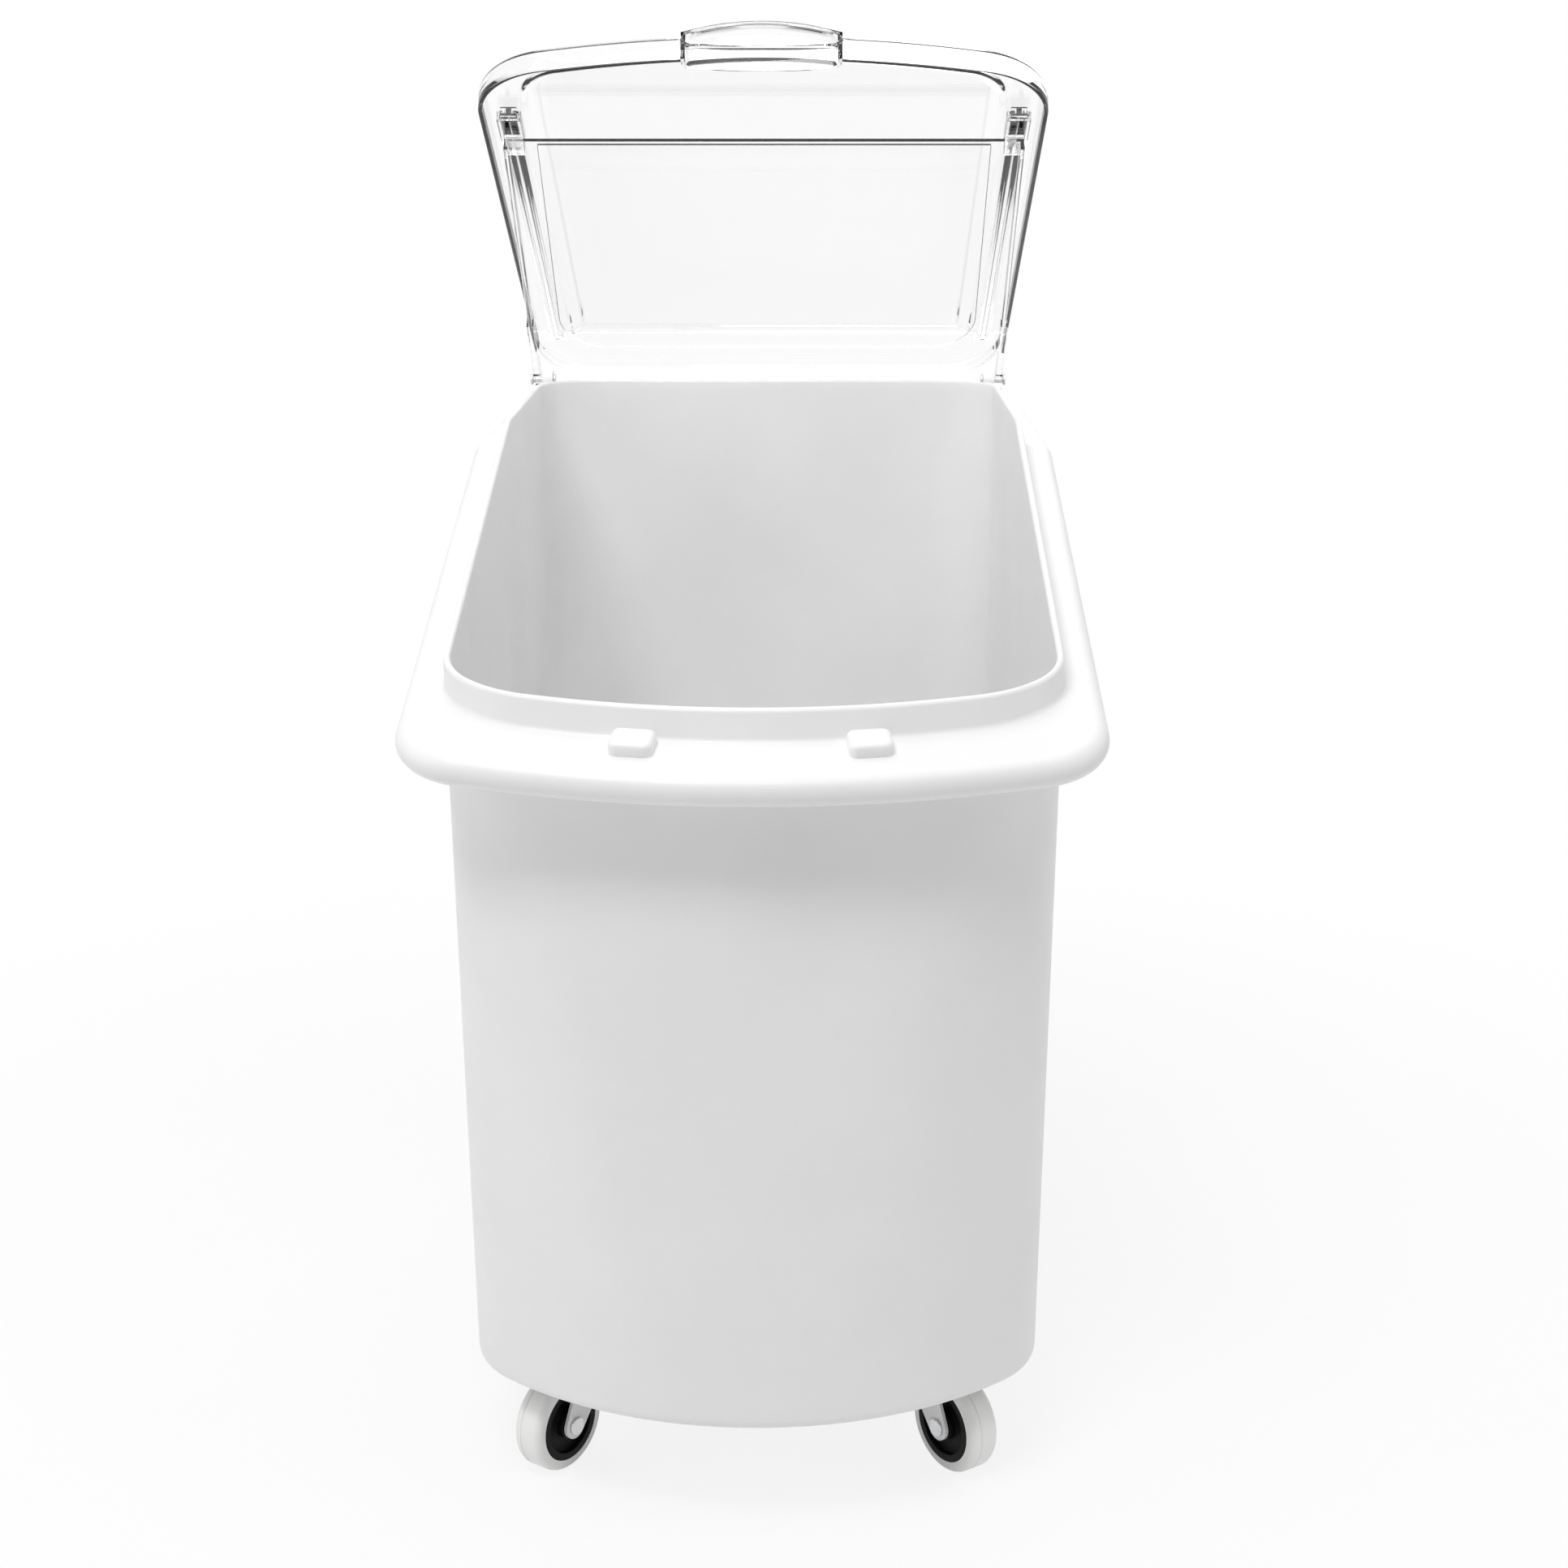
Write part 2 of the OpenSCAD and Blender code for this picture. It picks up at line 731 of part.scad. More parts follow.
module caster_plate(i) {
    color("silver")
        at_caster(i)
            difference() {
                union() {
                    translate([-plate_w / 2, -plate_w / 2, plate_z])
                        cube([plate_w, plate_w, sheet_t]);
                    translate([0, 0, race_z])
                        cylinder(r = race_r + race_edge, h = race_t + eps);
                }
                ball_groove();
                translate([0, 0, race_z - over])
                    cylinder(d = kingpin_d, h = race_t + sheet_t + 2 * over);
                screw_places()
                    translate([0, 0, plate_z - over])
                        cylinder(d = screw_d, h = sheet_t + 2 * over);
            }
}

module kingpin(i) {
    head_gap = 0.3;
    head_t = 3;
    head_lip = 3;
    color("silver")
        at_caster(i) {
            translate([0, 0, crown_z - head_gap - eps])
                cylinder(d = kingpin_d, h = pad_z - crown_z + head_gap + eps);
            translate([0, 0, crown_z - head_gap - head_t])
                cylinder(d = kingpin_d + 2 * head_lip, h = head_t);
        }
}

module bearing_balls(i) {
    color("silver")
        on_swivel(i)
            for (b = [0 : ball_count - 1])
                rotate([0, 0, b * 360 / ball_count])
                    translate([race_r, 0, race_z - crown_gap / 2])
                        sphere(d = ball_d);
}

// Side view of a fork leg: wide at the crown, round at the axle
module leg_outline() {
    leg_top = crown_z + crown_t - wheel_r;
    eye_wall = 5;
    leg_lip = 3;
    leg_r = axle_d / 2 + eye_wall;
    leg_w = 2 * race_r + 2 * leg_lip;
    hull() {
        circle(r = leg_r);
        translate([-trail - leg_w / 2, leg_top - crown_t])
            square([leg_w, crown_t]);
    }
}

module fork(i) {
    out_w = fork_w + 2 * sheet_t;
    color([0.93, 0.93, 0.93])
        difference() {
            union() {
                for (side = [-1, 1])
                    on_axle(i)
                        translate([0, 0, side > 0 ? fork_w / 2 : -out_w / 2])
                            linear_extrude(sheet_t)
                                leg_outline();
                on_swivel(i)
                    translate([0, 0, crown_z])
                        cylinder(r = race_r + race_edge, h = crown_t);
            }
            on_swivel(i)
                ball_groove();
            on_swivel(i)
                translate([0, 0, crown_z - over])
                    cylinder(d = kingpin_d + 2 * run_clear, h = crown_t + 2 * over);
            on_axle(i)
                cylinder(d = axle_d, h = big, center = true);
        }
}

module axle(i) {
    head_lip = 2;
    head_d = axle_d + 2 * head_lip;
    head_t = 2;
    out_w = fork_w + 2 * sheet_t;
    color("silver")
        on_axle(i) {
            cylinder(d = axle_d, h = out_w + 2 * eps, center = true);
            for (side = [-1, 1])
                translate([0, 0, side > 0 ? out_w / 2 : -out_w / 2 - head_t])
                    cylinder(d = head_d, h = head_t);
        }
}

module bush(i) {
    color("gainsboro")
        on_axle(i)
            difference() {
                cylinder(d = bush_d, h = fork_w, center = true);
                cylinder(d = axle_d, h = fork_w + 2 * over, center = true);
            }
}

module hub(i) {
    side_play = 0.7;
    hub_rim = 5;
    boss_wall = 4;
    dish_depth = 4;
    hub_w = fork_w - 2 * side_play;
    dish_d = hub_d - 2 * hub_rim;
    boss_d = bush_d + 2 * boss_wall;
    color([0.05, 0.05, 0.05])
        on_axle(i)
            difference() {
                union() {
                    cylinder(d = hub_d, h = tyre_w, center = true);
                    cylinder(d = boss_d, h = hub_w, center = true);
                }
                for (side = [-1, 1])
                    translate([0, 0, side > 0 ? tyre_w / 2 - dish_depth : -tyre_w / 2 - over])
                        difference() {
                            cylinder(d = dish_d, h = dish_depth + over);
                            translate([0, 0, -over])
                                cylinder(d = boss_d, h = dish_depth + 3 * over);
                        }
                cylinder(d = bush_d + 2 * run_clear, h = big, center = true);
            }
}

module tyre(i) {
    edge_r = 5;
    groove_r = 0.7;
    groove_in = 2;
    color([0.95, 0.95, 0.95])
        on_axle(i)
            rotate_extrude()
                difference() {
                    union() {
                        translate([hub_d / 2, -tyre_w / 2])
                            square([wheel_r - edge_r - hub_d / 2, tyre_w]);
                        translate([hub_d / 2, -tyre_w / 2 + edge_r])
                            square([wheel_r - hub_d / 2, tyre_w - 2 * edge_r]);
                        for (side = [-1, 1])
                            translate([wheel_r - edge_r, side * (tyre_w / 2 - edge_r)])
                                circle(r = edge_r);
                    }
                    translate([wheel_r, tyre_w / 2 - edge_r - groove_in])
                        circle(r = groove_r);
                    translate([0, -tyre_w])
                        square([hub_d / 2, 2 * tyre_w]);
                }
}

tub();
hinge_pin(-1);  // left_hinge_pin
hinge_pin(1);  // right_hinge_pin
rear_lid();
guide_clip(-1);  // left_guide_clip
guide_clip(1);  // right_guide_clip
front_lid();
caster_bolts();
for (i = [0 : 3]) {
    caster_plate(i);
    kingpin(i);
    bearing_balls(i);
    fork(i);
    axle(i);
    bush(i);
    hub(i);
    tyre(i);
}
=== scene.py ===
"""Looks of the rolling ingredient bin: a moulded tub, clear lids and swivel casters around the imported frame."""

import math

import bmesh
import bpy
import numpy as np
from mathutils import Matrix, Vector


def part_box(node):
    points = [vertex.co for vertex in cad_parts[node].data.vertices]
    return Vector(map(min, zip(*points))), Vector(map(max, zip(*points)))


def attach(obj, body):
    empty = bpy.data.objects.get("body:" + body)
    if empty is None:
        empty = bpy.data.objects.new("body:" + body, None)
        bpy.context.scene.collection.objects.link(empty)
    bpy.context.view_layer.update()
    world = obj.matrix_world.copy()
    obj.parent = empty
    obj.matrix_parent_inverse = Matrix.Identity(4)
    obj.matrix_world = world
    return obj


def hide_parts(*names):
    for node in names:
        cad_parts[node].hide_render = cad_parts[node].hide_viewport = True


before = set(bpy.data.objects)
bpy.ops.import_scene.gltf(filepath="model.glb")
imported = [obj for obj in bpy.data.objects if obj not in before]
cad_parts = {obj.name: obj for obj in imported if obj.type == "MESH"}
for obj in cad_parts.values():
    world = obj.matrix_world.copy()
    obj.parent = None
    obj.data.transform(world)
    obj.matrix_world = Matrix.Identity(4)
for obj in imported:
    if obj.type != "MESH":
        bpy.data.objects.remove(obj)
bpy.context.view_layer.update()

# Main sizes of the tub, in metres, measured on the frame where it shows them
tub_low, tub_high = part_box("tub")
FLANGE_W = tub_high.x - tub_low.x
FRONT_Y, REAR_Y = tub_low.y, tub_high.y
RIM_H, COLLAR_H, FLANGE_T = 0.654, 0.019, 0.020
SLOPE = math.radians(15.2)
FLAT_LEN = 0.2875
FRONT_LEDGE, REAR_LEDGE = 0.042, 0.035
FRONT_BOW, FLANGE_CORNER = 0.650, 0.050
BODY_W, BODY_CORNER = 0.374, 0.045
FOOT_W, FOOT_FRONT, FOOT_REAR = 0.369, 0.042, 0.050
FOOT_BOW, FOOT_CORNER = 0.240, 0.070
WALL, FOOT_ROLL, FOOT_INSET = 0.0045, 0.007, 0.0042
FLOOR_ROUND, FLOOR_T, RIM_FILLET, PAD_H = 0.026, 0.005, 0.003, 0.006
FOOT_H = tub_low.z
RECESS_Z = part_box("front_left_plate")[1].z + PAD_H
FLOOR_Z = RECESS_Z + FLOOR_T

# Rim levels that follow from them
FLANGE_MID = RIM_H - COLLAR_H - FLANGE_T / 2
RIM_OVER_MID = RIM_H - FLANGE_MID
BREAK_Y = REAR_Y - FLAT_LEN
SLOPE_LEN = (BREAK_Y - FRONT_Y) / math.cos(SLOPE)

CASTERS = ("front_left", "front_right", "rear_left", "rear_right")

# Band that holds most values of a noise texture
NOISE_LOW, NOISE_HIGH = 0.3, 0.7
WHITE = (1.0, 1.0, 1.0, 1.0)


# Node material helpers
def new_material(name):
    mat = bpy.data.materials.new(name)
    mat.use_nodes = True
    tree = mat.node_tree
    tree.nodes.clear()
    out = tree.nodes.new("ShaderNodeOutputMaterial")
    shader = tree.nodes.new("ShaderNodeBsdfPrincipled")
    tree.links.new(shader.outputs["BSDF"], out.inputs["Surface"])
    return mat, tree, shader, out


def noise(tree, scale, detail=3.0, rough=0.5, stretch=(1.0, 1.0, 1.0)):
    coords = tree.nodes.new("ShaderNodeTexCoord")
    mapping = tree.nodes.new("ShaderNodeMapping")
    mapping.inputs["Scale"].default_value = stretch
    tex = tree.nodes.new("ShaderNodeTexNoise")
    tex.inputs["Scale"].default_value = scale
    tex.inputs["Detail"].default_value = detail
    tex.inputs["Roughness"].default_value = rough
    tree.links.new(coords.outputs["Object"], mapping.inputs["Vector"])
    tree.links.new(mapping.outputs["Vector"], tex.inputs["Vector"])
    return tex.outputs["Fac"]


def ramp(tree, fac, stops):
    """Colour ramp whose stops are places with a grey or a colour."""
    node = tree.nodes.new("ShaderNodeValToRGB")
    elements = node.color_ramp.elements
    while len(elements) < len(stops):
        elements.new(0.5)
    for element, (pos, value) in zip(elements, stops):
        element.position = pos
        element.color = (*value, 1.0) if isinstance(value, tuple) else (value, value, value, 1.0)
    tree.links.new(fac, node.inputs["Fac"])
    return node.outputs["Color"]


def two_tone(tree, fac, dark, light):
    """Colour between two tones by a noise."""
    return ramp(tree, fac, [(NOISE_LOW, dark), (NOISE_HIGH, light)])


def spread(tree, fac, low, high):
    """Number between two others by a noise."""
    node = tree.nodes.new("ShaderNodeMapRange")
    node.inputs["From Min"].default_value = NOISE_LOW
    node.inputs["From Max"].default_value = NOISE_HIGH
    node.inputs["To Min"].default_value = low
    node.inputs["To Max"].default_value = high
    tree.links.new(fac, node.inputs["Value"])
    return node.outputs["Result"]


def bump(tree, shader, height, strength, distance):
    node = tree.nodes.new("ShaderNodeBump")
    node.inputs["Strength"].default_value = strength
    node.inputs["Distance"].default_value = distance
    tree.links.new(height, node.inputs["Height"])
    tree.links.new(node.outputs["Normal"], shader.inputs["Normal"])


def moulded_plastic(name, dark, light, rough, grain, depth, gloss=0.5):
    """Cloudy colour, uneven sheen and a fine grain of the given scale and depth."""
    cloud_scale, cloud_detail, sheen_scale = 9.0, 4.0, 60.0
    smoother, rougher, grain_detail, grain_strength = 0.05, 0.06, 2.0, 0.25
    mat, tree, shader, _ = new_material(name)
    shader.inputs["Specular IOR Level"].default_value = gloss
    cloud = noise(tree, cloud_scale, cloud_detail)
    tree.links.new(two_tone(tree, cloud, dark, light), shader.inputs["Base Color"])
    sheen = noise(tree, sheen_scale)
    tree.links.new(spread(tree, sheen, rough - smoother, rough + rougher), shader.inputs["Roughness"])
    bump(tree, shader, noise(tree, grain, grain_detail), grain_strength, depth)
    return mat


def brushed_metal(name, dark, light, rough, stretch):
    """Bright metal with a fine grain drawn out by the stretch."""
    grain_scale, grain_strength, grain_depth = 400.0, 0.15, 0.0001
    smoother, rougher = 0.06, 0.08
    mat, tree, shader, _ = new_material(name)
    grain = noise(tree, grain_scale, stretch=stretch)
    tree.links.new(two_tone(tree, grain, dark, light), shader.inputs["Base Color"])
    tree.links.new(spread(tree, grain, rough - smoother, rough + rougher), shader.inputs["Roughness"])
    bump(tree, shader, grain, grain_strength, grain_depth)
    shader.inputs["Metallic"].default_value = 1.0
    return mat


def clear_plastic(name, stops):
    """Clear plastic, faintly grey face-on as its own colour and darker towards edge-on as painted shade for dark
    outlines along its edges; faintly wavy, and it lets light through as if thin.
    """
    ior, edge_blend, shadow_grey = 1.38, 0.35, 0.95
    sheen_scale, smoothest, roughest = 25.0, 0.012, 0.03
    wave_scale, wave_detail, wave_strength, wave_depth = 14.0, 2.0, 0.06, 0.0008
    mat, tree, shader, out = new_material(name)
    shader.inputs["Transmission Weight"].default_value = 1.0
    shader.inputs["IOR"].default_value = ior
    # Base colour by facing: the faint grey face-on is the plastic's own colour, the darkening towards edge-on is
    # painted shade that draws dark outlines along the edges.
    edge = tree.nodes.new("ShaderNodeLayerWeight")
    edge.inputs["Blend"].default_value = edge_blend
    tint_and_edge_shade = ramp(tree, edge.outputs["Facing"], stops)
    tree.links.new(tint_and_edge_shade, shader.inputs["Base Color"])
    tree.links.new(spread(tree, noise(tree, sheen_scale), smoothest, roughest), shader.inputs["Roughness"])
    bump(tree, shader, noise(tree, wave_scale, wave_detail), wave_strength, wave_depth)
    path = tree.nodes.new("ShaderNodeLightPath")
    clear = tree.nodes.new("ShaderNodeBsdfTransparent")
    clear.inputs["Color"].default_value = (shadow_grey, shadow_grey, shadow_grey, 1.0)
    mix = tree.nodes.new("ShaderNodeMixShader")
    tree.links.new(path.outputs["Is Shadow Ray"], mix.inputs["Fac"])
    tree.links.new(shader.outputs["BSDF"], mix.inputs[1])
    tree.links.new(clear.outputs["BSDF"], mix.inputs[2])
    tree.links.new(mix.outputs["Shader"], out.inputs["Surface"])
    return mat


TUB_WHITE = moulded_plastic("tub_polyethylene", (0.84, 0.84, 0.84), (0.88, 0.88, 0.88), 0.40, 900.0, 0.0003)
TYRE_WHITE = moulded_plastic("tyre_white", (0.89, 0.89, 0.88), (0.94, 0.94, 0.93), 0.45, 1200.0, 0.0002)
CORE_BLACK = moulded_plastic("core_black", (0.002, 0.002, 0.002), (0.005, 0.005, 0.005), 0.55, 1500.0, 0.0002,
                             gloss=0.12)
BUSH_GREY = moulded_plastic("bush_nylon", (0.55, 0.55, 0.54), (0.65, 0.65, 0.64), 0.45, 1500.0, 0.0002)
FORK_COAT = moulded_plastic("fork_coat", (0.86, 0.86, 0.86), (0.92, 0.92, 0.92), 0.30, 2500.0, 0.0001)
ZINC = brushed_metal("zinc_steel", (0.52, 0.53, 0.55), (0.74, 0.75, 0.77), 0.28, (1.0, 1.0, 6.0))
# Colour stops from face-on to edge-on; the dark last stops are painted shade for the lids' dark edge outlines.
CLEAR = clear_plastic("clear_polycarbonate", [(0.0, 0.985), (0.6, 0.965), (0.9, 0.89), (1.0, 0.75)])
CLEAR_THIN = clear_plastic("clear_polycarbonate_thin",
                           [(0.0, 0.992), (0.85, 0.985), (0.96, 0.95), (1.0, 0.88)])


# Columns of a tub section, by the direction of the normal in degrees on the bow and the corners, and by shares
# of the straight sides and the rear
BOW_SPAN, BOW_STEP, CORNER_STEP, REAR_STEP, TURN_END = 18, 1.5, 3.0, 5.0, 0.1
FRONT_TURN = np.radians(np.concatenate([
    np.arange(0, BOW_SPAN, BOW_STEP), np.arange(BOW_SPAN, 90 + TURN_END, CORNER_STEP)]))
REAR_TURN = np.radians(np.arange(90, 180 + TURN_END, REAR_STEP))
SIDE_FRONT = np.array([0.12, 0.25, 0.4, 0.55, 0.7, 0.85])
SIDE_REAR = np.array([0.15, 0.35, 0.55, 0.75, 0.9])
REAR_STEPS = np.array([0.75, 0.5, 0.25, 0.0])
KINK_COLUMN = len(FRONT_TURN) + len(SIDE_FRONT) + 1
KINK_ROUND = 0.004

# The body's loft from the foot's roll to the rim
LOFT_Z = FOOT_H + FOOT_ROLL
LOFT_H = RIM_H - LOFT_Z

# Rings between two others, closer together near the ends
INSIDE_SHARES = (0.03, 0.1, 0.25, 0.4, 0.55, 0.7, 0.85, 0.95, 0.99)
OUTSIDE_SHARES = (0.01, 0.05, 0.15, 0.3, 0.45, 0.6, 0.75, 0.9, 0.97)
LEDGE_SHARES = (0.15, 0.5, 0.85)


def arc(first, last, steps):
    return np.radians(np.linspace(first, last, steps))


def round_off(r, first, last, steps):
    """Pairs of r (1 - cos a) and r (1 - sin a) along an arc, for an edge that is rounded by r."""
    return [(r * (1 - math.cos(a)), r * (1 - math.sin(a))) for a in arc(first, last, steps)]


def half_outline(w, front, rear, bow, corner, kink):
    """Points of the right half of a bowed outline, from the front's middle to the rear's middle."""
    bow_end = math.asin((w / 2 - corner) / (bow - corner))
    on_bow = np.stack([bow * np.sin(FRONT_TURN), front + bow - bow * np.cos(FRONT_TURN)], 1)
    centre = np.array([w / 2 - corner, front + bow - (bow - corner) * math.cos(bow_end)])
    on_corner = centre + corner * np.stack([np.sin(FRONT_TURN), -np.cos(FRONT_TURN)], 1)
    front_part = np.where((FRONT_TURN <= bow_end)[:, None], on_bow, on_corner)
    rear_part = np.array([w / 2 - corner, rear - corner]) + corner * np.stack(
        [np.sin(REAR_TURN), -np.cos(REAR_TURN)], 1)
    y_front, y_rear = front_part[-1, 1], rear_part[0, 1]
    side_y = np.concatenate([
        y_front + (kink - KINK_ROUND - y_front) * SIDE_FRONT,
        [kink - KINK_ROUND, kink, kink + KINK_ROUND],
        kink + KINK_ROUND + (y_rear - kink - KINK_ROUND) * SIDE_REAR])
    side_part = np.stack([np.full(len(side_y), w / 2), side_y], 1)
    back_part = np.stack([(w / 2 - corner) * REAR_STEPS, np.full(len(REAR_STEPS), rear)], 1)
    return np.concatenate([front_part, side_part, rear_part, back_part])


def body_outlines(inset, kink):
    """Half outlines of the body at the foot and at the rim's height."""
    foot = half_outline(FOOT_W - 2 * inset, FRONT_Y + FOOT_FRONT + inset, REAR_Y - FOOT_REAR - inset,
                        FOOT_BOW - inset, FOOT_CORNER - inset, kink)
    top = half_outline(BODY_W - 2 * inset, FRONT_Y + FRONT_LEDGE + inset, REAR_Y - REAR_LEDGE - inset,
                       FRONT_BOW - inset, BODY_CORNER - inset, kink)
    return foot, top


def level_ring(z, inset):
    """Ring on the body's loft at one height."""
    foot, top = body_outlines(inset, BREAK_Y)
    share = max((z - LOFT_Z) / LOFT_H, 0)
    return np.column_stack([foot + (top - foot) * share, np.full(len(foot), z)])


def rim_ring(n, inset):
    """Ring on the body's loft along the kinked rim, n off the flange's middle plane."""
    foot, top = body_outlines(inset, BREAK_Y - n * math.tan(SLOPE / 2))
    tilt = math.tan(SLOPE)
    lean = (top[:, 1] - foot[:, 1]) / LOFT_H
    start_z = FLANGE_MID - BREAK_Y * tilt + n / math.cos(SLOPE)
    slanted = (start_z + (foot[:, 1] - lean * LOFT_Z) * tilt) / (1 - lean * tilt)
    z = np.where(np.arange(len(foot)) < KINK_COLUMN, slanted, FLANGE_MID + n)
    share = ((z - LOFT_Z) / LOFT_H)[:, None]
    return np.column_stack([foot + (top - foot) * share, z])


def between(low, high, shares):
    """Rings at the given shares of the way from one to another."""
    return [low + (high - low) * s for s in shares]


def flange_ring(inset, n):
    """Ring on the flange, n off its middle plane: slanted ahead of the kink and level behind it."""
    flat = half_outline(FLANGE_W - 2 * inset, -SLOPE_LEN + inset, FLAT_LEN - inset, FRONT_BOW - inset,
                        FLANGE_CORNER - inset, 0.0)
    x, along = flat[:, 0], flat[:, 1]
    slanted = np.column_stack([x, BREAK_Y + along * math.cos(SLOPE) - n * math.sin(SLOPE),
                               FLANGE_MID + along * math.sin(SLOPE) + n * math.cos(SLOPE)])
    level = np.column_stack([x, BREAK_Y + along, np.full(len(x), FLANGE_MID + n)])
    ring = np.where((np.arange(len(x)) < KINK_COLUMN)[:, None], slanted, level)
    ring[KINK_COLUMN] = [x[KINK_COLUMN], BREAK_Y - n * math.tan(SLOPE / 2), FLANGE_MID + n]
    return ring


def whole_ring(half):
    """Adds the mirrored left half to the right half of a ring."""
    left = half[-2:0:-1] * np.array([-1.0, 1.0, 1.0])
    return np.concatenate([half, left])


def tub_rings():
    """Rings of the tub's skin, from the inside floor over the rim to the underside."""
    half_t, lip = FLANGE_T / 2, WALL / 2
    recess, edge_round, recess_round = WALL + FOOT_INSET, 0.001, 0.002
    floor = [level_ring(FLOOR_Z + rise, WALL + inset) for rise, inset in round_off(FLOOR_ROUND, 0, 90, 8)]
    edge = [rim_ring(RIM_OVER_MID - lip * (1 - math.sin(a)), lip * (1 + math.cos(a))) for a in arc(0, 180, 9)]
    ledge = [rim_ring(half_t + n, -out) for out, n in round_off(RIM_FILLET, 0, 90, 5)]
    roll = [flange_ring(half_t * (1 - math.cos(a)), half_t * math.sin(a)) for a in arc(90, -90, 15)]
    under = [rim_ring(-half_t - n, -out) for out, n in round_off(RIM_FILLET, 90, 0, 5)]
    foot = [level_ring(FOOT_H + FOOT_ROLL * (1 - math.sin(a)), FOOT_INSET * (1 - math.cos(a)))
            for a in arc(0, 90, 7)]
    below = [level_ring(FOOT_H, recess - edge_round), level_ring(FOOT_H + edge_round, recess),
             level_ring(RECESS_Z - recess_round, recess), level_ring(RECESS_Z, recess + recess_round)]
    rings = floor + between(floor[-1], edge[0], INSIDE_SHARES) + edge
    rings += ledge + between(ledge[-1], roll[0], LEDGE_SHARES) + roll
    rings += between(roll[-1], under[0], LEDGE_SHARES) + under
    rings += between(under[-1], foot[0], OUTSIDE_SHARES) + foot + below
    return [whole_ring(r) for r in rings]


def make_object(name, mesh, material, body):
    obj = bpy.data.objects.new(name, mesh)
    bpy.context.scene.collection.objects.link(obj)
    obj.data.materials.append(material)
    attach(obj, body)
    return obj


def skin_mesh(name, points, faces, merge=None):
    """Mesh with outward normals, smooth on its four-sided faces, and points closer than merge joined."""
    mesh = bpy.data.meshes.new(name)
    mesh.from_pydata(points.tolist(), [], faces)
    mesh.polygons.foreach_set("use_smooth", [len(f) == 4 for f in faces])
    work = bmesh.new()
    work.from_mesh(mesh)
    if merge:
        bmesh.ops.remove_doubles(work, verts=work.verts, dist=merge)
    bmesh.ops.recalc_face_normals(work, faces=work.faces)
    work.to_mesh(mesh)
    work.free()
    return mesh


def ring_mesh(name, rings, matrix):
    """Closed skin over rings of equal length, with flat caps on the first and last one."""
    count = len(rings[0])
    faces = [tuple(range(count))]
    for k in range(len(rings) - 1):
        a, b = k * count, (k + 1) * count
        faces += [(a + i, b + i, b + (i + 1) % count, a + (i + 1) % count) for i in range(count)]
    faces.append(tuple((len(rings) - 1) * count + i for i in reversed(range(count))))
    mesh = skin_mesh(name, np.concatenate(rings), faces)
    mesh.transform(matrix)
    mesh.update()
    return mesh


tub_mesh = ring_mesh("tub_shell", tub_rings(), Matrix.Identity(4))
tub_shell = make_object("tub_shell", tub_mesh, TUB_WHITE, "bin")
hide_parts("tub")


# Small moulded features of the tub
def rounded_rectangle(x0, y0, x1, y1, r, steps=7):
    corners = [(x1 - r, y0 + r, -90), (x1 - r, y1 - r, 0), (x0 + r, y1 - r, 90), (x0 + r, y0 + r, 180)]
    return np.array([(x + r * math.cos(a), y + r * math.sin(a))
                     for x, y, first in corners for a in arc(first, first + 90, steps)])


def inset_outline(points, amount):
    """Moves each point of an outline that runs anticlockwise inwards along its normal."""
    ahead, behind = np.roll(points, -1, 0) - points, points - np.roll(points, 1, 0)
    ahead /= np.linalg.norm(ahead, axis=1)[:, None]
    behind /= np.linalg.norm(behind, axis=1)[:, None]
    normal = np.stack([-(ahead + behind)[:, 1], (ahead + behind)[:, 0]], 1)
    normal /= np.linalg.norm(normal, axis=1)[:, None]
    return points + normal * amount


def slab_mesh(name, outline, z0, z1, round_low, round_high, matrix):
    """Outline raised from z0 to z1 with rounded lower and upper edges."""
    levels = [(inset, z0 + rise) for inset, rise in round_off(round_low, 90, 0, 5)]
    levels += [(inset, z1 - drop) for inset, drop in round_off(round_high, 0, 90, 6)]
    rings = [np.column_stack([inset_outline(outline, inset), np.full(len(outline), z)]) for inset, z in levels]
    return ring_mesh(name, rings, matrix)


def slope_matrix(n):
    """Frame on the slanted rim, n off the flange's middle plane, with its origin at the kink."""
    kink = Matrix.Translation((0, BREAK_Y - n * math.tan(SLOPE / 2), FLANGE_MID + n))
    return kink @ Matrix.Rotation(SLOPE, 4, "X")


def pin_axis():
    """The hinge axis's y and z, and the x where the right pin starts."""
    low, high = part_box("right_hinge_pin")
    return (low.y + high.y) / 2, (low.z + high.z) / 2, low.x


def make_bumps():
    """Two locating bumps on the front ledge, square to the bowed collar."""
    width, depth, height, pitch, sink = 0.026, 0.020, 0.008, 0.135, 0.001
    corner, low_round, high_round = 0.0052, 0.0003, 0.0035
    collar_front, foot_front = FRONT_Y + FRONT_LEDGE, FRONT_Y + FOOT_FRONT
    ledge_z = FLANGE_MID + (collar_front - BREAK_Y) * math.tan(SLOPE) + FLANGE_T / 2 / math.cos(SLOPE)
    share = (ledge_z - LOFT_Z) / LOFT_H
    bow = FOOT_BOW + (FRONT_BOW - FOOT_BOW) * share
    turn = math.asin(pitch / 2 / bow)
    face = foot_front + (collar_front - foot_front) * share + bow * (1 - math.cos(turn))
    outline = rounded_rectangle(-width / 2, -depth, width / 2, WALL / 2, corner)
    for side, name in ((-1, "left_bump"), (1, "right_bump")):
        place = slope_matrix(FLANGE_T / 2) @ Matrix.Translation(
            (side * pitch / 2, (face - BREAK_Y) / math.cos(SLOPE), 0)) @ Matrix.Rotation(side * turn, 4, "Z")
        mesh = slab_mesh(name, outline, -sink, height, low_round, high_round, place)
        make_object(name, mesh, TUB_WHITE, "bin")


